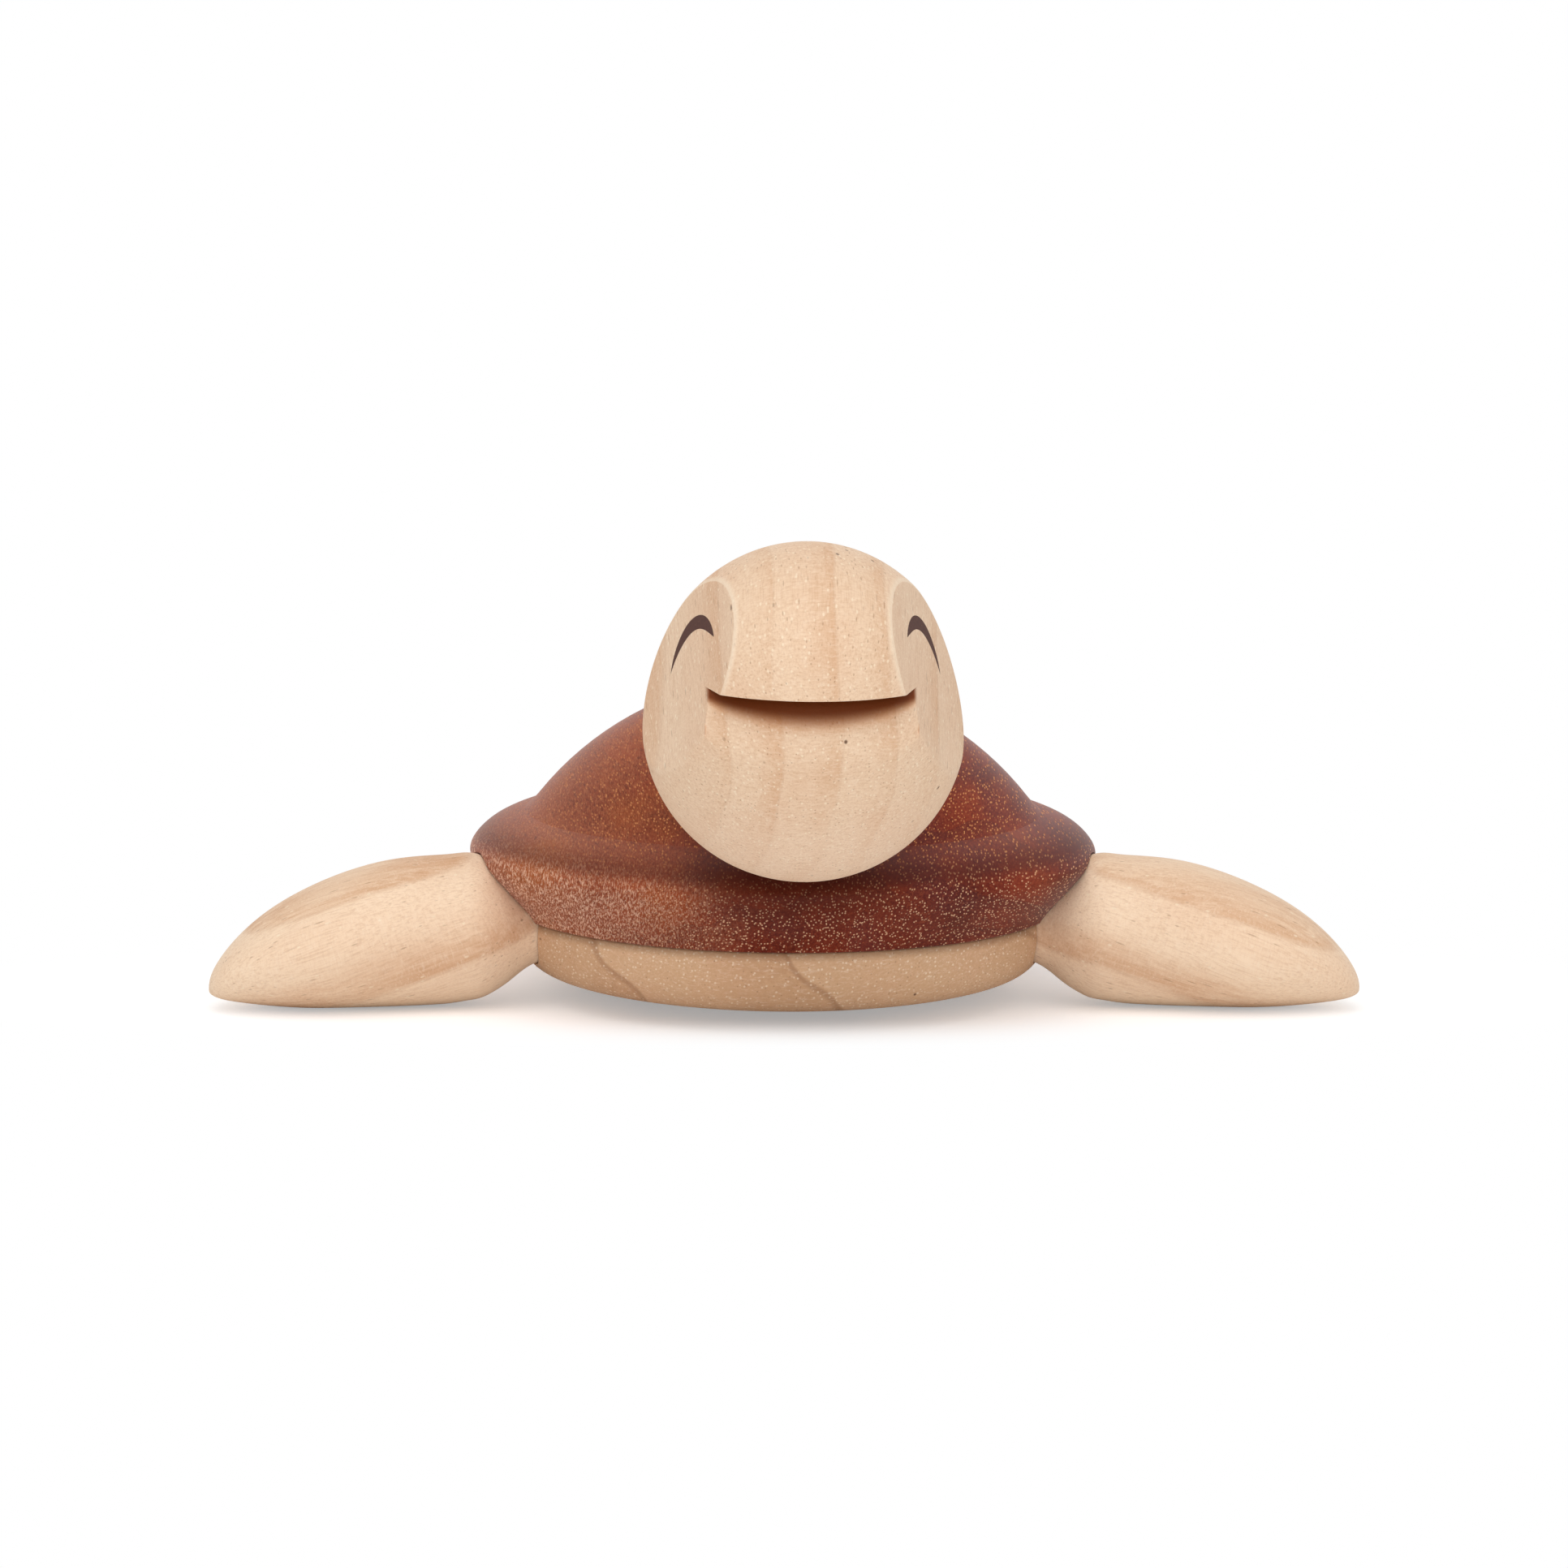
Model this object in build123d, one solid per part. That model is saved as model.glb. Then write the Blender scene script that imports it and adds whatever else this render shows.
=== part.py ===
"""Wooden sea turtle figurine: a turned shell over a shallow belly bowl, an egg-shaped head on
a peg and four flippers on pegs. Lengths are millimetres and angles are degrees.
+X is the turtle's own left side, the head looks along -Y and +Z is up. The origin is the
centre of the belly's flat, on the surface that the figurine stands on."""

from build123d import *
from math import cos, radians, sin
from types import SimpleNamespace
import os

# Clearances and workshop habits
glue_gap = 0.05
running_gap = 0.08
socket_gap = 0.3
edge_break = 0.4
cut_overrun = 80.0

# Shell: dome, cove, rolled rim and the bowl that tucks under it
seam_height = 14.1
shell_seam_radius = 43.6
bowl_radius = 46.7
bowl_height = 18.1
rim_under_radius = 49.0
rim_under_height = 20.9
rim_radius = 50.1
rim_height = 23.1
rim_shoulder_radius = 48.4
rim_shoulder_height = 26.2
bead_radius = 45.0
bead_height = 28.4
cove_radius = 41.3
cove_height = 29.7
dome_foot_radius = 39.4
dome_sphere_radius = 50.15
dome_top_height = 50.7

# Belly: shallow bowl with a small flat to stand on
belly_flat_radius = 14.8
belly_top_radius = 43.1
# Radius and height as shares of the top radius and of the seam height
belly_outline_shares = [(0.464, 0.067), (0.696, 0.175), (0.835, 0.255), (0.928, 0.372), (0.984, 0.600)]

# Dowels that line the shell up on the belly
dowel_radius = 3.0
dowel_length = 12.0
dowel_end_room = 0.5
dowel_circle_radius = 24.3
dowel_count = 3
dowel_first_angle = 7.0
dowel_pitch_angle = 83.0

# Head: an egg turned about the neck axis, with a flat sanded on each cheek
neck_rise_angle = 40.0
head_centre_forward = 60.0
head_centre_height = 52.5
head_radius = 24.3
head_front_length = 31.1
head_back_length = 24.0
cheek_flat_distance = 21.1
cheek_toe_angle = 22.5
crease_round = 1.5
egg_outline_steps = 12

# Mouth: a ledge cut straight in under the beak and a scooped jaw that fades into the chin
beak_forward = 88.4
lip_height = 59.05
lip_pitch_angle = 3.5
mouth_width = 31.2
mouth_room_depth = 12.0
jaw_lip_set_back = 4.7
jaw_lip_radius = 22.5
jaw_foot_drop = 22.0
# Drop, set-back and radius down the jaw, as shares of the foot's drop and the lip's two sizes
jaw_station_shares = [
    (0.0, 1.0, 1.0), (0.16, 0.54, 1.15), (0.32, 0.36, 1.2), (0.5, 0.45, 1.09),
    (0.68, 0.73, 1.015), (0.86, 1.145, 0.945), (1.0, 1.52, 0.9)]

# Eyes: closed, as crescents let into the cheek flats
eye_length = 14.2
eye_height = 9.8
eye_tail_behind_foot = 3.8
eye_tail_above_foot = 2.0
eye_depth = 1.6
# Places along the crescent, forward and upward, as shares of its length and height
eye_tail_share = (0.03, 0.0)
eye_tip_share = (1.0, 0.755)
eye_outer_shares = [(0.0, 0.34), (0.14, 0.77), (0.45, 1.0), (0.74, 0.97)]
eye_inner_shares = [(0.76, 0.80), (0.54, 0.80), (0.34, 0.70), (0.14, 0.42)]

# Neck: the boss behind the head, its washer, and the peg through the dome
neck_boss_radius = 7.5
neck_boss_blend = 1.5
neck_seat_distance = 30.6
neck_seat_margin = 0.8
neck_washer_thickness = 0.8
neck_wall = 12.0
neck_peg_radius = 4.5
neck_peg_in_head = 20.0
neck_peg_head_radius = 6.5
neck_peg_head_length = 3.5
neck_ring_thickness = 2.0
neck_well_radius = 7.2

# Every flipper turns on an axis a little below the seam
flipper_axis_below_seam = 1.4

# Front flippers
front_axis_forward = 12.0
front_root_start = 36.3
front_blade_start = 50.3
front_tip = 91.0
front_root_radius = 11.7
front_thickness = 23.6
front_chord = 28.0
front_tip_drop = 9.3
front_tip_sweep = -4.0
front_peg_radius = 4.0
front_peg_in_flipper = 18.0
front_bore_wall = 7.5

# Rear flippers
rear_heading_angle = 52.0
rear_root_start = 38.2
rear_blade_start = 50.6
rear_tip = 76.0
rear_root_radius = 7.4
rear_thickness = 15.0
rear_chord = 19.0
rear_tip_drop = 12.0
rear_tip_sweep = 2.0
rear_peg_radius = 3.0
rear_peg_in_flipper = 12.0
rear_bore_wall = 7.0

# What every flipper peg has inside the body
peg_head_overlap = 2.0
peg_head_length = 3.0
peg_ring_thickness = 2.0
peg_end_room = 0.5

# Flipper shape: places along the root and radii, as shares of the root's length and radius
root_station_shares = [
    (0.0, 0.43), (0.14, 0.455), (0.28, 0.515), (0.42, 0.625), (0.57, 0.77), (0.73, 0.893),
    (0.87, 0.97), (1.0, 1.0)]
# Places along the blade, then its half thickness, half chord, drop and sweep, as shares
blade_station_shares = [
    (0.06, 1.000, 0.850, 0.032, 0.00),
    (0.15, 1.000, 0.885, 0.061, 0.03),
    (0.31, 0.976, 0.965, 0.110, 0.09),
    (0.46, 0.910, 1.000, 0.198, 0.20),
    (0.62, 0.796, 0.940, 0.332, 0.38),
    (0.78, 0.616, 0.765, 0.503, 0.60),
    (0.89, 0.430, 0.555, 0.674, 0.79),
    (0.965, 0.242, 0.325, 0.839, 0.94),
]

# Both pairs of flippers, each pair's sizes under the same names
front = SimpleNamespace(
    root_start=front_root_start, blade_start=front_blade_start, tip=front_tip,
    root_radius=front_root_radius, thickness=front_thickness, chord=front_chord,
    tip_drop=front_tip_drop, tip_sweep=front_tip_sweep, peg_radius=front_peg_radius,
    peg_in_flipper=front_peg_in_flipper, bore_wall=front_bore_wall,
    place=Pos(0, -front_axis_forward, seam_height - flipper_axis_below_seam))
rear = SimpleNamespace(
    root_start=rear_root_start, blade_start=rear_blade_start, tip=rear_tip,
    root_radius=rear_root_radius, thickness=rear_thickness, chord=rear_chord,
    tip_drop=rear_tip_drop, tip_sweep=rear_tip_sweep, peg_radius=rear_peg_radius,
    peg_in_flipper=rear_peg_in_flipper, bore_wall=rear_bore_wall,
    place=Pos(0, 0, seam_height - flipper_axis_below_seam) * Rot(0, 0, rear_heading_angle))

# Head frame: z runs from the head's centre down the neck, into the shell
neck_frame = Plane(
    origin=(0, -head_centre_forward, head_centre_height),
    x_dir=(1, 0, 0),
    z_dir=(0, cos(radians(neck_rise_angle)), -sin(radians(neck_rise_angle))))
neck_boss_end = neck_seat_distance - neck_washer_thickness
neck_inner_seat = neck_seat_distance + neck_wall

# Lip frame: z runs down from the ledge under the beak, y runs forward along it
lip_frame = Plane(
    origin=(0, -beak_forward, lip_height),
    x_dir=(1, 0, 0),
    z_dir=(0, sin(radians(lip_pitch_angle)), -cos(radians(lip_pitch_angle))))

from_base = (Align.CENTER, Align.CENTER, Align.MIN)


def rod(radius, start, end):
    """Cylinder about the local Z axis, between two heights."""
    return Pos(0, 0, start) * Cylinder(radius, end - start, align=from_base)


def rod_outwards(radius, start, end):
    """Cylinder about the local X axis, the way a flipper peg lies."""
    return Rot(0, 90, 0) * rod(radius, start, end)


def block_above(plane):
    """Block that fills the side of a plane that its normal points to."""
    side = 2 * cut_overrun
    return plane * Box(side, side, side, align=from_base)


def turned(outline):
    """Solid of revolution about Z of an outline drawn in the XZ plane."""
    return revolve(Plane.XZ * make_face(outline), Axis.Z)


def shell_blank():
    def dome_height(radius):
        drop = dome_sphere_radius - (dome_sphere_radius**2 - radius**2) ** 0.5
        return dome_top_height - drop

    top = (0, dome_top_height)
    half_way = (dome_foot_radius / 2, dome_height(dome_foot_radius / 2))
    foot = (dome_foot_radius, dome_height(dome_foot_radius))
    seam_edge = (shell_seam_radius, seam_height)
    cove_end = (cove_radius, cove_height)
    dome = ThreePointArc(top, half_way, foot)
    cove = TangentArc(foot, cove_end, tangent=dome % 1)
    rim = Spline(
        cove_end,
        (bead_radius, bead_height),
        (rim_shoulder_radius, rim_shoulder_height),
        (rim_radius, rim_height),
        (rim_under_radius, rim_under_height),
        (bowl_radius, bowl_height),
        seam_edge,
    )
    blank = turned(dome + cove + rim + Polyline(seam_edge, (0, seam_height), top))
    return fillet(blank.faces().sort_by(Axis.Z)[0].edges(), edge_break)


def belly_blank():
    stations = [(belly_top_radius * out, seam_height * up) for out, up in belly_outline_shares]
    top_edge = (belly_top_radius, seam_height)
    flat_edge = (belly_flat_radius, 0)
    side = Spline(flat_edge, *stations, top_edge)
    blank = turned(side + Polyline(top_edge, (0, seam_height), (0, 0), flat_edge))
    return fillet(blank.faces().sort_by(Axis.Z)[-1].edges(), edge_break)


def dowels(radius, length):
    """Dowels across the seam, or the holes for them."""
    turns = [dowel_first_angle + i * dowel_pitch_angle for i in range(dowel_count)]
    one = Pos(dowel_circle_radius, 0, seam_height) * Cylinder(radius, length)
    return Part() + [Rot(0, 0, turn) * one for turn in turns]


def root_stations(kind):
    """Distance out and radius at each station of a flipper's round root."""
    length = kind.blade_start - kind.root_start
    return [
        (kind.root_start + length * along, kind.root_radius * size)
        for along, size in root_station_shares
    ]


def blade_stations(kind):
    """Distance out, half thickness, half chord, drop and sweep at each station of a blade."""
    length = kind.tip - kind.blade_start
    return [
        (kind.blade_start + length * along, kind.thickness / 2 * thick, kind.chord / 2 * wide,
         kind.tip_drop * low, kind.tip_sweep * swept)
        for along, thick, wide, low, swept in blade_station_shares
    ]


def section_plane(out, sweep, drop):
    return Plane(origin=(out, sweep, -drop), x_dir=(0, 1, 0), z_dir=(1, 0, 0))


def flipper(kind):
    """Flipper on the left side, in its peg's frame, with the blind bore for the peg."""
    sections = [section_plane(out, 0, 0) * Circle(radius) for out, radius in root_stations(kind)]
    for out, half_thick, half_chord, drop, sweep in blade_stations(kind):
        sections.append(section_plane(out, sweep, drop) * Ellipse(half_chord, half_thick))
    tip_point = Vertex(kind.tip, kind.tip_sweep, -kind.tip_drop)
    body = loft([*sections, tip_point])
    under_floor = Plane(origin=(0, 0, flipper_axis_below_seam - seam_height), z_dir=(0, 0, -1))
    bore = rod_outwards(
        kind.peg_radius + glue_gap, 0, kind.root_start + kind.peg_in_flipper + glue_gap)
    return body - block_above(under_floor) - bore


def peg_places(kind):
    """Distances out of the peg head's inner end, its outer end, the ring's end and the socket."""
    socket_floor = kind.root_start - socket_gap
    ring_end = socket_floor - kind.bore_wall
    head_outer = ring_end - peg_ring_thickness
    return head_outer - peg_head_length, head_outer, ring_end, socket_floor


def flipper_peg(kind):
    head_inner, head_outer, ring_end, socket_floor = peg_places(kind)
    shank = rod_outwards(kind.peg_radius, head_inner, kind.root_start + kind.peg_in_flipper)
    head = rod_outwards(kind.peg_radius + peg_head_overlap, head_inner, head_outer)
    return shank + head


def flipper_ring(kind):
    head_inner, head_outer, ring_end, socket_floor = peg_places(kind)
    ring = rod_outwards(kind.peg_radius + peg_head_overlap, head_outer, ring_end)
    return ring - rod_outwards(kind.peg_radius + glue_gap, head_outer, ring_end)


def flipper_hollow(kind):
    """Room that a flipper and its peg take in the shell and belly: socket, bore and chamber."""
    head_inner, head_outer, ring_end, socket_floor = peg_places(kind)
    chamber = rod_outwards(
        kind.peg_radius + peg_head_overlap + socket_gap, head_inner - peg_end_room, ring_end)
    bore_radius = kind.peg_radius + running_gap
    bore = rod_outwards(bore_radius, ring_end, socket_floor)
    # The bore is open as far as the seam, so the peg can be laid in from above
    bore += Pos(ring_end, 0, 0) * Box(
        socket_floor - ring_end, 2 * bore_radius, flipper_axis_below_seam,
        align=(Align.MIN, Align.CENTER, Align.MIN))
    wall = [(radius + socket_gap, out) for out, radius in root_stations(kind)]
    first_radius = wall[0][0]
    last_radius, last_out = wall[-1]
    outline = Polyline((0, socket_floor), (first_radius, socket_floor), wall[0]) + Spline(*wall)
    outline += Polyline(
        wall[-1], (last_radius, last_out + kind.chord), (0, last_out + kind.chord),
        (0, socket_floor))
    socket = Rot(0, 90, 0) * turned(outline)
    return chamber + bore + socket


def flipper_hollows():
    left = [kind.place * flipper_hollow(kind) for kind in (front, rear)]
    return Part() + left + [mirror(hollow, Plane.YZ) for hollow in left]


def neck_hollow():
    """Flat seat outside the dome, bore through it, and the well that the peg goes in by."""
    seat = rod(neck_boss_radius + neck_seat_margin, 0, neck_seat_distance)
    bore = rod(neck_peg_radius + running_gap, 0, neck_inner_seat)
    well = rod(neck_well_radius, neck_inner_seat, neck_inner_seat + cut_overrun)
    return neck_frame * (seat + bore + well)


def shell():
    holes = dowels(dowel_radius + glue_gap, dowel_length + 2 * dowel_end_room)
    return shell_blank() - flipper_hollows() - neck_hollow() - holes


def belly():
    holes = dowels(dowel_radius + glue_gap, dowel_length + 2 * dowel_end_room)
    return belly_blank() - flipper_hollows() - holes


def cheek_frame():
    """Flat of the right cheek: x runs forward along it, y up it and z out of it."""
    toe = radians(cheek_toe_angle)
    front_way = -neck_frame.z_dir
    outwards = Vector(-cos(toe), 0, 0) + front_way * sin(toe)
    return Plane(
        origin=neck_frame.origin + outwards * cheek_flat_distance,
        x_dir=(-outwards.Y, outwards.X, 0),
        z_dir=outwards)


def egg():
    """Head before the cheeks and the mouth are cut, with its seam line at the back."""
    outline = []
    for step in range(egg_outline_steps + 1):
        turn = radians(180 * step / egg_outline_steps)
        length = head_front_length if cos(turn) > 0 else head_back_length
        outline.append((head_radius * sin(turn), -length * cos(turn)))
    outline[0] = nose = (0, -head_front_length)
    outline[-1] = nape = (0, head_back_length)
    blank = Rot(0, 0, -90) * turned(
        Spline(*outline, tangents=[(1, 0), (-1, 0)]) + Line(nape, nose))
    blank += rod(neck_boss_radius, 0, neck_boss_end)
    joint = blank.edges().filter_by(GeomType.CIRCLE)
    joint = joint.filter_by(lambda edge: abs(edge.radius - neck_boss_radius) < glue_gap)
    return neck_frame * fillet(joint.sort_by(Axis.Z)[0], neck_boss_blend)


def jaw_cut():
    """Wood taken away under the beak, down to where the jaw meets the chin again."""
    rings = []
    for drop, back, size in jaw_station_shares:
        radius = jaw_lip_radius * size
        ring_centre = Pos(0, -jaw_lip_set_back * back - radius, jaw_foot_drop * drop)
        rings.append(ring_centre * Circle(radius))
    room = Pos(0, -mouth_room_depth, 0) * Box(
        mouth_width, cut_overrun, jaw_foot_drop, align=(Align.CENTER, Align.MIN, Align.MIN))
    return lip_frame * (room - loft(rings))


def eye_inlay():
    """Crescent of the right eye, flush with the cheek's flat."""
    def place(share):
        along, up = share
        return (along * eye_length - eye_tail_behind_foot, up * eye_height + eye_tail_above_foot)

    tail = place(eye_tail_share)
    tip = place(eye_tip_share)
    outer = Spline(tail, *[place(share) for share in eye_outer_shares], tip)
    inner = Spline(tip, *[place(share) for share in eye_inner_shares], tail)
    return extrude(cheek_frame() * make_face(outer + inner), -eye_depth)


def head():
    right_flat = block_above(cheek_frame())
    blank = egg() - right_flat - mirror(right_flat, Plane.YZ)
    flats = blank.faces().filter_by(GeomType.PLANE).sort_by(SortBy.AREA)[-2:]
    if crease_round > 0:
        blank = fillet([edge for flat in flats for edge in flat.edges()], crease_round)
    right_eye = eye_inlay()
    peg_hole = neck_frame * rod(
        neck_peg_radius + glue_gap, neck_boss_end - neck_peg_in_head - glue_gap, neck_boss_end)
    return blank - jaw_cut() - peg_hole - right_eye - mirror(right_eye, Plane.YZ)


def neck_peg():
    shank_start = neck_boss_end - neck_peg_in_head
    head_start = neck_inner_seat + neck_ring_thickness
    shank = rod(neck_peg_radius, shank_start, head_start)
    return neck_frame * (shank + rod(neck_peg_head_radius, head_start, head_start + neck_peg_head_length))


def neck_washer():
    washer = rod(neck_boss_radius, neck_boss_end, neck_seat_distance)
    return neck_frame * (washer - rod(neck_peg_radius + glue_gap, neck_boss_end, neck_seat_distance))


def neck_ring():
    end = neck_inner_seat + neck_ring_thickness
    ring = rod(neck_peg_head_radius, neck_inner_seat, end)
    return neck_frame * (ring - rod(neck_peg_radius + glue_gap, neck_inner_seat, end))


def left_and_right(name, left_solid):
    return {"left_" + name: left_solid, "right_" + name: mirror(left_solid, Plane.YZ)}


def all_parts():
    parts = {
        "shell": shell(),
        "belly": belly(),
        "belly_dowels": dowels(dowel_radius, dowel_length),
        "head": head(),
        "neck_peg": neck_peg(),
        "neck_washer": neck_washer(),
        "neck_friction_ring": neck_ring(),
    }
    parts |= {"right_eye": eye_inlay(), "left_eye": mirror(eye_inlay(), Plane.YZ)}
    for name, kind in (("front", front), ("rear", rear)):
        parts |= left_and_right(name + "_flipper", kind.place * flipper(kind))
        parts |= left_and_right(name + "_flipper_peg", kind.place * flipper_peg(kind))
        parts |= left_and_right(name + "_friction_ring", kind.place * flipper_ring(kind))
    return parts


os.makedirs("parts", exist_ok=True)
for node, solid in all_parts().items():
    export_step(solid, "parts/" + node + ".step")
    print(node, len(solid.solids()), round(solid.volume))
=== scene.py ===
import bpy
from math import cos, radians, sin, tan
from mathutils import Matrix, Vector

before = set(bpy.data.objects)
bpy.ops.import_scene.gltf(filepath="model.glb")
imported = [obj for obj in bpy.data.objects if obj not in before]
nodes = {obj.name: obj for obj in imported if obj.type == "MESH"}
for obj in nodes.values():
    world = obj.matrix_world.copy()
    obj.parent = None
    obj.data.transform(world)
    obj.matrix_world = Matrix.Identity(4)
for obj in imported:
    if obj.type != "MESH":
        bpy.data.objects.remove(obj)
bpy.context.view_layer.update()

mm = 0.001

# Mouth, where shade is painted into the head's wood: these are the sizes of the head's solid
lip_height = 59.05 * mm
beak_forward = 88.4 * mm
lip_pitch = radians(3.5)
mouth_half_width = 15.6 * mm

# Painted shade under the lip: how far down it goes, how softly it ends at the mouth's corners
shade_depth = 4.6 * mm
corner_softness = 0.8 * mm
lip_overlap = 0.02 * mm

# Head: its centre and the rise of the neck, the cheeks' flats and the painted light on the chin
head_centre = (0.0, -60.0 * mm, 52.5 * mm)
neck_rise = radians(40)
cheek_toe = radians(22.5)
cheek_flat_distance = 21.1 * mm
chin_top = 47.0 * mm
chin_foot = 34.0 * mm

# Painted highlight along the brow's edge of a cheek flat: where it starts, is full and ends, counted
# inwards from the flat
edge_start, edge_full, edge_fade, edge_end = 0.7 * mm, 0.1 * mm, 0.06 * mm, 0.02 * mm
# How far below and above the lip it goes from faint to full
edge_below_lip, edge_above_lip = 6.0 * mm, 4.0 * mm

# Shell's painted shadow of the head round the neck, where the dark is full and where it ends
neck_shade_full = 28.0 * mm
neck_shade_reach = 39.0 * mm

# Shell's rolled rim: where a painted band of the groove's shade runs round, and how far it goes below and
# above
rim_dark_height = 26.3 * mm
rim_dark_below = 2.0 * mm
rim_dark_above = 3.4 * mm

# Seam of belly and shell, where shade is painted on the belly just under the shell's edge
seam_height = 14.1 * mm
seam_shade_width = 1.8 * mm

# Depth of the woods' and fittings' relief
pale_relief = 0.06 * mm
shell_relief = 0.05 * mm
eye_relief = 0.02 * mm
rubber_relief = 0.03 * mm
leather_relief = 0.06 * mm

# Floor: how far its own shading reaches, and how much it is lifted there for the camera
floor_size = 12.0
board_white = 0.94
shadow_reach = 45.0 * mm
floor_lift = 0.33

# Room: its light on the turtle, and what is added where the camera or a gloss sees it
room_light = 0.6
seen_extra = 0.4

# Camera: the photograph's angles, distance, width in pixels and the size of one at the shell
photo_turn, photo_tilt, photo_roll = radians(2.9), radians(8.6), radians(0.5)
camera_distance = 0.9
pixel_size = 0.13 * mm
photo_width = 1932.0
sensor_width = 36.0
camera_aim = Vector((0.1 * mm, 0.0, 33.7 * mm))
lamp_aim = (0.0, -20.0 * mm, 30.0 * mm)


# Shader helpers

def paint(red, green, blue):
    """Linear colour from the 0 to 255 values that a paint chart gives."""
    def linear(value):
        value /= 255
        return value / 12.92 if value <= 0.04045 else ((value + 0.055) / 1.055) ** 2.4
    return (linear(red), linear(green), linear(blue), 1.0)


def node(tree, kind, inputs=None, **settings):
    made = tree.nodes.new(kind)
    for name, value in settings.items():
        setattr(made, name, value)
    for name, value in (inputs or {}).items():
        if isinstance(value, bpy.types.NodeSocket):
            tree.links.new(value, made.inputs[name])
        else:
            made.inputs[name].default_value = value
    return made


def maths(tree, operation, first, second=0.0, third=0.0):
    return node(tree, "ShaderNodeMath", {0: first, 1: second, 2: third}, operation=operation).outputs[0]


def product(tree, first, second):
    return maths(tree, "MULTIPLY", first, second)


def vector_maths(tree, operation, first, second):
    made = node(tree, "ShaderNodeVectorMath", {0: first, 1: second}, operation=operation)
    return made.outputs["Value" if operation in ("DOT_PRODUCT", "DISTANCE") else "Vector"]


def scaled(tree, vector, scale):
    return node(tree, "ShaderNodeVectorMath", {0: vector, "Scale": scale}, operation="SCALE").outputs[0]


def length(tree, vector):
    return node(tree, "ShaderNodeVectorMath", {0: vector}, operation="LENGTH").outputs["Value"]


def mixed(tree, factor, first, second):
    return node(tree, "ShaderNodeMix", {0: factor, 6: first, 7: second}, data_type="RGBA").outputs[2]


def between(tree, value, low, high, out_low=0.0, out_high=1.0):
    """Smooth step of a value between two limits."""
    limits = {"Value": value, "From Min": low, "From Max": high, "To Min": out_low, "To Max": out_high}
    return node(tree, "ShaderNodeMapRange", limits, interpolation_type="SMOOTHSTEP").outputs[0]


def mapped(tree, vector, scale, turn=(0.0, 0.0, 0.0), shift=(0.0, 0.0, 0.0)):
    inputs = {"Vector": vector, "Scale": scale, "Rotation": turn, "Location": shift}
    return node(tree, "ShaderNodeMapping", inputs).outputs[0]


def object_place(tree):
    """A point's place in metres, and how far it is to the side, towards the back and up."""
    place = node(tree, "ShaderNodeTexCoord").outputs["Object"]
    return place, *node(tree, "ShaderNodeSeparateXYZ", {0: place}).outputs[:3]


def ramp(tree, value, stops):
    made = node(tree, "ShaderNodeValToRGB", {"Fac": value})
    band = made.color_ramp
    while len(band.elements) < len(stops):
        band.elements.new(0.5)
    for element, (place, colour) in zip(band.elements, stops):
        element.position = place
        element.color = colour
    return made.outputs["Color"]


def noise(tree, vector, scale=1.0, detail=2.0, roughness=0.5, distortion=0.0, output="Fac"):
    inputs = {"Vector": vector, "Scale": scale, "Detail": detail, "Roughness": roughness,
              "Distortion": distortion}
    return node(tree, "ShaderNodeTexNoise", inputs).outputs[output]


def stretched(tree, vector, across, along):
    """Coordinates in which a pattern is long along the grain."""
    return mapped(tree, vector, (across, across, along))


def grain_place(tree, grain_turn, wander=1.5, seed=(0.0, 0.0, 0.0)):
    """Millimetre coordinates whose z runs along the grain, with the slow wander of real fibres."""
    in_mm = scaled(tree, object_place(tree)[0], 1 / mm)
    turned = mapped(tree, in_mm, (1.0, 1.0, 1.0), grain_turn, seed)
    drift = noise(tree, stretched(tree, turned, 0.035, 0.012), detail=1.0, output="Color")
    drift = vector_maths(tree, "SUBTRACT", drift, (0.5, 0.5, 0.5))
    return vector_maths(tree, "ADD", turned, scaled(tree, drift, 4 * wander))


def growth_rings(tree, place, pith, spacing, wander=0.5):
    """Nought to one across each year's ring; a negative spacing turns the rings inside out."""
    from_pith = vector_maths(tree, "SUBTRACT", place, pith)
    radius = length(tree, vector_maths(tree, "MULTIPLY", from_pith, (1.0, 1.0, 0.03)))
    wobble = noise(tree, stretched(tree, place, 0.06, 0.01), detail=1.0)
    years = maths(tree, "MULTIPLY_ADD", radius, 1.0 / spacing, product(tree, wobble, wander))
    return maths(tree, "FRACT", years)


def specks(tree, place, across, along, size, share, seed=(0.0, 0.0, 0.0)):
    """Short marks that run with the grain: one at the middle of the given share of all cells."""
    cells = mapped(tree, place, (1 / across, 1 / across, 1 / along), shift=seed)
    cell = node(tree, "ShaderNodeTexVoronoi", {"Vector": cells, "Scale": 1.0, "Randomness": 1.0})
    near = between(tree, cell.outputs["Distance"], size * 1.35, size * 0.55)
    pick = node(tree, "ShaderNodeSeparateColor", {0: cell.outputs["Color"]}).outputs[0]
    return product(tree, near, between(tree, pick, share + 0.02, share - 0.02))


def blank_material(name):
    material = bpy.data.materials.new(name)
    material.use_nodes = True
    tree = material.node_tree
    tree.nodes.clear()
    surface = node(tree, "ShaderNodeBsdfPrincipled")
    node(tree, "ShaderNodeOutputMaterial", {"Surface": surface.outputs[0]})
    return material, tree, surface


def finish(tree, surface, colour, roughness, height, depth, strength):
    """Colour, roughness and relief of one material, joined to its surface."""
    tree.links.new(colour, surface.inputs["Base Color"])
    tree.links.new(roughness, surface.inputs["Roughness"])
    bump = node(tree, "ShaderNodeBump", {"Height": height, "Distance": depth, "Strength": strength})
    tree.links.new(bump.outputs[0], surface.inputs["Normal"])


def stained(tree, colour, strength, factor, stain):
    """Colour with a stain laid over it, at a strength and where the factor is one."""
    return mixed(tree, product(tree, factor, strength), colour, stain)


# Woods

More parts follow.
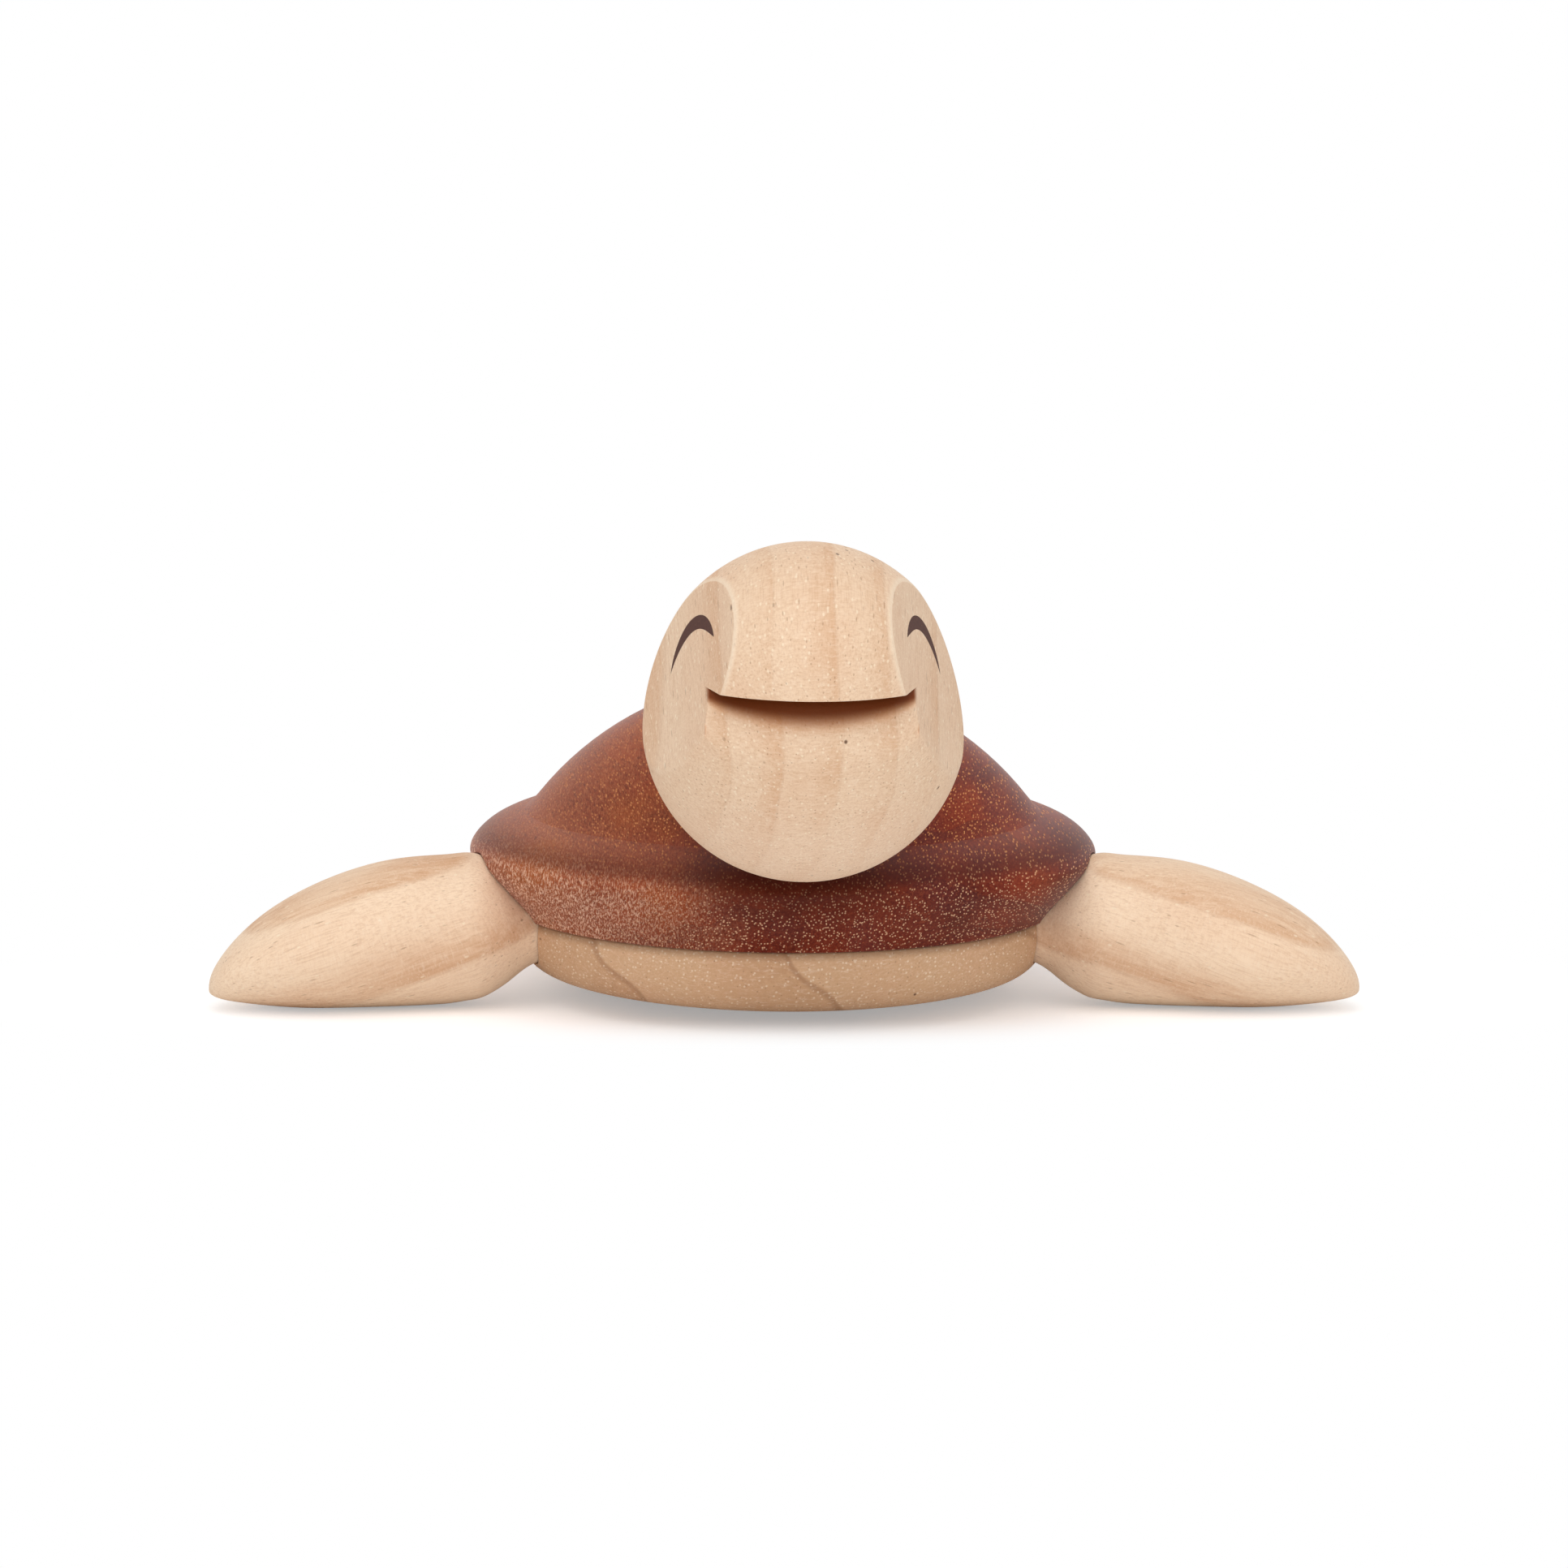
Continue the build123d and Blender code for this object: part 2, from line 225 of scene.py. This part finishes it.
def mouth_shade(tree, depth):
    """Painted shade under the lip's overhang: one on the saw-cut face close under the lip, fading down the
    jaw and to the mouth's corners.
    """
    side, back, up = object_place(tree)[1:]
    lip = maths(tree, "MULTIPLY_ADD", back, tan(lip_pitch), lip_height + beak_forward * tan(lip_pitch))
    below = maths(tree, "SUBTRACT", lip, up)
    side_share = product(tree, side, 1 / mouth_half_width)
    reach = maths(tree, "MULTIPLY_ADD", product(tree, side_share, side_share), -0.6, 1.0)
    fade = maths(tree, "DIVIDE", below, product(tree, reach, depth))
    shade = product(tree, between(tree, fade, 1.08, 0.45), maths(tree, "GREATER_THAN", below, -lip_overlap))
    corner = mouth_half_width - corner_softness
    inside = between(tree, maths(tree, "ABSOLUTE", side), mouth_half_width, corner)
    in_front = maths(tree, "LESS_THAN", back, head_centre[1])
    return product(tree, product(tree, shade, inside), in_front)


def cheek_edge_highlight(tree):
    """Painted highlight: one close outside the brow's edge of each cheek flat, where its rounded edge
    catches the light.
    """
    place, side, _, up = object_place(tree)
    toe_in = (0.0, -sin(cheek_toe) * cos(neck_rise), sin(cheek_toe) * sin(neck_rise))
    toed_in = vector_maths(tree, "DOT_PRODUCT", place, toe_in)
    outwards = maths(tree, "MULTIPLY_ADD", maths(tree, "ABSOLUTE", side), cos(cheek_toe), toed_in)
    flat = cheek_flat_distance + Vector(toe_in).dot(Vector(head_centre))
    edge = product(tree, between(tree, outwards, flat - edge_start, flat - edge_full),
                   between(tree, outwards, flat - edge_end, flat - edge_fade))
    brow = between(tree, up, lip_height - edge_below_lip, lip_height + edge_above_lip, 0.15, 1.0)
    return product(tree, edge, brow)


def painted_chin_light(tree):
    """Painted light: one at the foot of the head, fading up the jaw."""
    return between(tree, object_place(tree)[3], chin_top, chin_foot)


def seam_shade(tree):
    """Painted shade: one at the belly's top edge, against the shell, fading downwards."""
    return between(tree, object_place(tree)[3], seam_height - seam_shade_width, seam_height)


def rim_groove_shade(tree):
    """Painted shade of the groove above the rim: one round the shoulder of the shell's rim, darkest at its
    middle, fading up and down.
    """
    up = object_place(tree)[3]
    return product(tree, between(tree, up, rim_dark_height - rim_dark_below, rim_dark_height),
                   between(tree, up, rim_dark_height + rim_dark_above, rim_dark_height))


def head_shadow_on_shell(tree):
    """Painted shadow of the head: one on the shell close to the head, fading away from it."""
    from_head = vector_maths(tree, "DISTANCE", object_place(tree)[0], head_centre)
    return between(tree, from_head, neck_shade_reach, neck_shade_full)


def pale_wood(name, grain_turn, pith, ring_spacing, light, dark, seed=(0.0, 0.0, 0.0), bands=0.8,
              year_line=0.06, flecks=0.35, shine=0.35, holes=0.1, ripples=0.28, face=False, seam=False):
    """Fine pale hardwood: broad tan bands, silky fibres, short flecks and a few pinholes."""
    material, tree, surface = blank_material(name)
    place = grain_place(tree, grain_turn, seed=seed)
    rings = growth_rings(tree, place, pith, ring_spacing)
    late = ramp(tree, rings, [(0.0, (0, 0, 0, 1)), (0.5, (0.1, 0.1, 0.1, 1)), (0.78, (0.75, 0.75, 0.75, 1)),
                              (0.93, (1, 1, 1, 1)), (1.0, (0, 0, 0, 1))])
    streaks = noise(tree, stretched(tree, place, 0.9, 0.04), detail=3.0, roughness=0.6)
    cloud = noise(tree, stretched(tree, place, 0.09, 0.03))
    late = product(tree, late, between(tree, streaks, 0.3, 0.62, 0.4, 1.0))
    late = product(tree, late, between(tree, cloud, 0.28, 0.6, 0.35, 1.0))
    colour = stained(tree, light, bands, late, dark)
    colour = stained(tree, colour, 0.25, between(tree, cloud, 0.4, 0.7), paint(222, 174, 138))
    line = product(tree, between(tree, rings, 0.93, 0.97), between(tree, rings, 1.0, 0.975))
    colour = stained(tree, colour, year_line, line, paint(150, 100, 66))
    if face:
        # Painted light: the foot of the head is made paler
        colour = stained(tree, colour, 0.6, painted_chin_light(tree), paint(246, 216, 188))

    fibres = noise(tree, stretched(tree, place, 3.6, 0.2), detail=3.0, roughness=0.65)
    colour = stained(tree, colour, 0.3, between(tree, fibres, 0.42, 0.72), paint(196, 146, 108))
    across = mapped(tree, place, (0.7, 3.0, 3.0))
    ripple = noise(tree, across, detail=3.0, roughness=0.65, distortion=0.6)
    colour = stained(tree, colour, ripples, between(tree, ripple, 0.48, 0.7), paint(206, 162, 124))
    colour = stained(tree, colour, 0.3, between(tree, ripple, 0.5, 0.3), paint(252, 230, 206))

    glints = specks(tree, place, 0.62, 1.3, 0.27, shine, (3.1, 7.7, 1.3))
    colour = stained(tree, colour, 0.5, glints, paint(255, 238, 212))
    fleck = specks(tree, place, 0.55, 4.5, 0.2, flecks)
    colour = stained(tree, colour, 0.42, fleck, paint(150, 104, 72))
    patch = between(tree, noise(tree, stretched(tree, place, 0.08, 0.06), detail=1.0), 0.42, 0.6)
    pinholes = product(tree, specks(tree, place, 1.9, 4.5, 0.13, holes, (9.0, 2.0, 5.0)), patch)
    colour = stained(tree, colour, 0.85, pinholes, paint(88, 54, 34))
    if face:
        # Painted highlight along the cheek flats' brow edges
        colour = stained(tree, colour, 0.5, cheek_edge_highlight(tree), paint(255, 236, 210))
        # Painted shade under the lip: orange where it fades, dark brown close under the lip
        colour = stained(tree, colour, 0.7, mouth_shade(tree, 1.25 * shade_depth), paint(198, 122, 56))
        colour = stained(tree, colour, 0.98, mouth_shade(tree, shade_depth), paint(110, 46, 0))
    if seam:
        # Painted shade on the belly under the shell's edge
        colour = stained(tree, colour, 0.6, seam_shade(tree), paint(104, 66, 38))

    rough = maths(tree, "MULTIPLY_ADD", fibres, 0.16, 0.46)
    rough = maths(tree, "MULTIPLY_ADD", late, 0.08, rough)
    surface.inputs["Specular IOR Level"].default_value = 0.18
    height = maths(tree, "MULTIPLY_ADD", fibres, 0.4, product(tree, ripple, 0.35))
    height = maths(tree, "SUBTRACT", height, product(tree, pinholes, 2.5))
    height = maths(tree, "SUBTRACT", height, product(tree, fleck, 0.4))
    finish(tree, surface, colour, rough, height, pale_relief, 0.8)
    return material


def red_hardwood(name):
    """Dark open-pored hardwood, paler and woolly to one side, with pale dust in its pores."""
    material, tree, surface = blank_material(name)
    place = grain_place(tree, (radians(90), 0.0, 0.0), wander=1.2, seed=(4.0, 11.0, 2.0))
    rings = growth_rings(tree, place, (18.0, 90.0, 0.0), 8.0, 2.4)
    cloud = noise(tree, stretched(tree, place, 0.06, 0.03))
    colour = ramp(tree, cloud, [(0.3, paint(92, 28, 16)), (0.45, paint(114, 38, 22)),
                                (0.6, paint(136, 50, 26)), (0.75, paint(152, 66, 32))])
    colour = stained(tree, colour, 0.4, between(tree, rings, 0.35, 0.95), paint(78, 32, 30))
    purple = between(tree, noise(tree, stretched(tree, place, 0.09, 0.05), detail=1.0), 0.46, 0.66)
    colour = stained(tree, colour, 0.5, purple, paint(96, 42, 42))

    side, down = node(tree, "ShaderNodeSeparateXYZ", {0: place}).outputs[:2]
    low = between(tree, down, -18.0, -10.0)
    woolly = between(tree, maths(tree, "MULTIPLY_ADD", cloud, -30.0, side), -14.0, -50.0)
    colour = stained(tree, colour, 0.72, woolly, paint(164, 88, 54))
    glow = product(tree, woolly, between(tree, noise(tree, place, 0.07, 1.0), 0.5, 0.68))
    colour = stained(tree, colour, 0.55, glow, paint(176, 96, 44))

    fibres = noise(tree, stretched(tree, place, 2.6, 0.3), detail=3.0, roughness=0.65)
    colour = stained(tree, colour, 0.35, between(tree, fibres, 0.45, 0.7), paint(160, 84, 54))
    colour = stained(tree, colour, 0.45, between(tree, fibres, 0.5, 0.3), paint(62, 20, 16))
    combed = mapped(tree, place, (4.6, 1.4, 1.2), turn=(0.0, 0.0, radians(35)))
    wool = between(tree, noise(tree, combed, detail=3.0, roughness=0.7), 0.46, 0.66)
    wool = product(tree, wool, woolly)
    colour = stained(tree, colour, 0.5, wool, paint(204, 132, 90))
    colour = stained(tree, colour, 0.85, product(tree, wool, low), paint(244, 204, 178))

    dust = between(tree, rings, 0.0, 0.4, 0.7, 1.0)
    pores = product(tree, specks(tree, place, 0.45, 2.6, 0.28, 0.9), dust)
    pores = product(tree, pores, maths(tree, "MULTIPLY_ADD", woolly, -0.65, 1.0))
    small = specks(tree, place, 0.34, 1.8, 0.25, 0.6, (5.0, 3.0, 8.0))
    colour = stained(tree, colour, 0.35, small, paint(184, 98, 58))
    pale_dust = mixed(tree, low, paint(226, 152, 96), paint(240, 192, 154))
    colour = stained(tree, colour, 0.85, pores, pale_dust)
    # Painted shadow of the head on the shell
    colour = stained(tree, colour, 0.72, head_shadow_on_shell(tree), paint(60, 18, 6))
    # Painted shade of the groove, as a band round the rim's shoulder
    colour = stained(tree, colour, 0.5, rim_groove_shade(tree), paint(70, 24, 18))

    rough = maths(tree, "MULTIPLY_ADD", fibres, 0.14, 0.42)
    rough = maths(tree, "MULTIPLY_ADD", pores, 0.2, rough)
    surface.inputs["Specular IOR Level"].default_value = 0.11
    surface.inputs["Sheen Weight"].default_value = 0.3
    surface.inputs["Sheen Roughness"].default_value = 0.28
    surface.inputs["Sheen Tint"].default_value = (1.0, 0.86, 0.84, 1.0)
    height = maths(tree, "SUBTRACT", product(tree, fibres, 0.4), product(tree, pores, 0.9))
    finish(tree, surface, colour, rough, height, shell_relief, 0.7)
    return material


def eye_wood():
    """Dark close wood of the eyes, with a little dust in it."""
    material, tree, surface = blank_material("eye_wood")
    place = grain_place(tree, (0.0, radians(90), 0.0))
    fibres = noise(tree, stretched(tree, place, 2.5, 0.5), detail=3.0)
    colour = mixed(tree, fibres, paint(70, 42, 36), paint(98, 64, 54))
    colour = stained(tree, colour, 0.35, specks(tree, place, 0.6, 1.5, 0.2, 0.2), paint(150, 108, 88))
    surface.inputs["Specular IOR Level"].default_value = 0.15
    rough = maths(tree, "MULTIPLY_ADD", fibres, 0.1, 0.6)
    finish(tree, surface, colour, rough, fibres, eye_relief, 0.6)
    return material


def ring_rubber():
    """Black rubber of the friction rings, with a grey bloom."""
    material, tree, surface = blank_material("ring_rubber")
    bloom = noise(tree, grain_place(tree, (0.0, 0.0, 0.0)), 1.2, 3.0)
    colour = mixed(tree, bloom, paint(34, 33, 33), paint(58, 56, 55))
    rough = maths(tree, "MULTIPLY_ADD", bloom, 0.15, 0.65)
    finish(tree, surface, colour, rough, bloom, rubber_relief, 0.6)
    return material


def washer_leather():
    """Brown pebbled leather of the washer between head and shell."""
    material, tree, surface = blank_material("washer_leather")
    place = grain_place(tree, (0.0, 0.0, 0.0))
    pebbles = node(tree, "ShaderNodeTexVoronoi", {"Vector": place, "Scale": 2.2}).outputs["Distance"]
    colour = mixed(tree, pebbles, paint(126, 84, 58), paint(92, 58, 40))
    rough = maths(tree, "MULTIPLY_ADD", pebbles, 0.2, 0.55)
    finish(tree, surface, colour, rough, pebbles, leather_relief, 0.8)
    return material


def finish_node(name, material):
    slots = nodes[name].material_slots
    if not slots:
        nodes[name].data.materials.append(material)
    for held in nodes[name].material_slots:
        held.material = material


pale, tawny = paint(240, 209, 178), paint(216, 168, 128)
flipper_pale = paint(252, 224, 194)
head_wood = pale_wood("head_wood", (radians(50), 0.0, 0.0), (-90.0, -92.0, 0.0), 8.0, pale, tawny,
                      seed=(0.0, 5.0, 0.0), bands=0.6, holes=0.15, face=True)
left_wood = pale_wood("left_flipper_wood", (0.0, radians(70), 0.0), (103.9, -18.0, 0.0), 14.0,
                      flipper_pale, tawny, seed=(0.0, 3.0, 6.0), bands=0.7, shine=0.05, flecks=0.2,
                      holes=0.02, ripples=0.15)
right_wood = pale_wood("right_flipper_wood", (0.0, radians(-70), 0.0), (-106.8, -18.0, 0.0), 14.0,
                       flipper_pale, tawny, seed=(0.0, 1.0, 2.0), bands=0.9, shine=0.05, flecks=0.2,
                       holes=0.02, ripples=0.15)
belly_wood = pale_wood("belly_wood", (radians(90), 0.0, 0.0), (60.0, -80.0, 0.0), -21.4,
                       paint(220, 180, 142), paint(184, 134, 96), bands=0.6, year_line=0.5, shine=0.55,
                       flecks=0.3, seam=True)
peg_wood = pale_wood("peg_wood", (0.0, radians(90), 0.0), (9.0, 9.0, 0.0), 5.0, paint(222, 186, 146),
                     paint(190, 146, 104))
eyes = eye_wood()
rubber = ring_rubber()

finish_node("shell", red_hardwood("shell_wood"))
finish_node("belly", belly_wood)
finish_node("head", head_wood)
finish_node("neck_washer", washer_leather())
for name in nodes:
    if name.endswith("eye"):
        finish_node(name, eyes)
    elif name.endswith("ring"):
        finish_node(name, rubber)
    elif name.endswith(("peg", "dowels")):
        finish_node(name, peg_wood)
    elif name.endswith("flipper"):
        finish_node(name, left_wood if name.startswith("left") else right_wood)


# Stage

def pale_floor():
    """Matt board that is lifted to white for the camera: some by the turtle, fully further out."""
    material = bpy.data.materials.new("pale_floor")
    material.use_nodes = True
    tree = material.node_tree
    tree.nodes.clear()
    grey = (board_white, board_white, board_white, 1.0)
    board = node(tree, "ShaderNodeBsdfDiffuse", {"Color": grey}).outputs[0]
    seen = node(tree, "ShaderNodeLightPath").outputs["Is Camera Ray"]
    lift = node(tree, "ShaderNodeEmission", {"Strength": product(tree, seen, floor_lift)}).outputs[0]
    lit = node(tree, "ShaderNodeAddShader", {0: board, 1: lift}).outputs[0]
    white = node(tree, "ShaderNodeEmission", {"Strength": 1.0}).outputs[0]
    away = length(tree, vector_maths(tree, "MULTIPLY", object_place(tree)[0], (0.6, 1.9, 0.0)))
    far = product(tree, between(tree, away, shadow_reach, 2 * shadow_reach), seen)
    both = node(tree, "ShaderNodeMixShader", {0: far, 1: lit, 2: white}).outputs[0]
    node(tree, "ShaderNodeOutputMaterial", {"Surface": both})
    return material


bpy.ops.object.select_all(action="DESELECT")
bpy.ops.mesh.primitive_plane_add(size=floor_size, location=(0.0, 0.0, 0.0))
floor = bpy.context.object
floor.name = "floor"
floor.data.materials.append(pale_floor())

world = bpy.data.worlds.new("studio")
bpy.context.scene.world = world
world.use_nodes = True
air = world.node_tree
air.nodes.clear()
rays = node(air, "ShaderNodeLightPath")
seen = maths(air, "MAXIMUM", rays.outputs["Is Camera Ray"],
             maths(air, "MAXIMUM", rays.outputs["Is Glossy Ray"], rays.outputs["Is Transmission Ray"]))
strength = maths(air, "MULTIPLY_ADD", seen, seen_extra, room_light)
room = node(air, "ShaderNodeBackground", {"Color": (1.0, 1.0, 1.0, 1.0), "Strength": strength})
node(air, "ShaderNodeOutputWorld", {"Surface": room.outputs[0]})


def soft_box(name, place, width, height, power):
    """Rectangular lamp that faces the turtle."""
    bpy.ops.object.light_add(type="AREA", location=place)
    lamp = bpy.context.object
    lamp.name = name
    lamp.data.shape = "RECTANGLE"
    lamp.data.size = width
    lamp.data.size_y = height
    lamp.data.energy = power
    lamp.rotation_euler = (Vector(place) - Vector(lamp_aim)).to_track_quat("Z", "Y").to_euler()


soft_box("key_light", (-0.12, -0.5, 0.9), 0.9, 0.9, 3.6)
soft_box("front_light", (0.15, -1.05, 0.3), 1.5, 0.5, 2.0)

camera_data = bpy.data.cameras.new("camera")
camera_data.sensor_width = sensor_width
camera_data.lens = sensor_width * (camera_distance / pixel_size) / photo_width
camera_data.clip_start = 0.05
camera_data.clip_end = 20.0
camera = bpy.data.objects.new("camera", camera_data)
bpy.context.scene.collection.objects.link(camera)
back = Vector((-sin(photo_turn) * cos(photo_tilt), -cos(photo_turn) * cos(photo_tilt), sin(photo_tilt)))
level = back.to_track_quat("Z", "Y").to_matrix().to_4x4()
stand = Matrix.Translation(camera_aim + back * camera_distance)
camera.matrix_world = stand @ level @ Matrix.Rotation(photo_roll, 4, "Z")
bpy.context.scene.camera = camera
bpy.context.scene.view_settings.view_transform = "Standard"
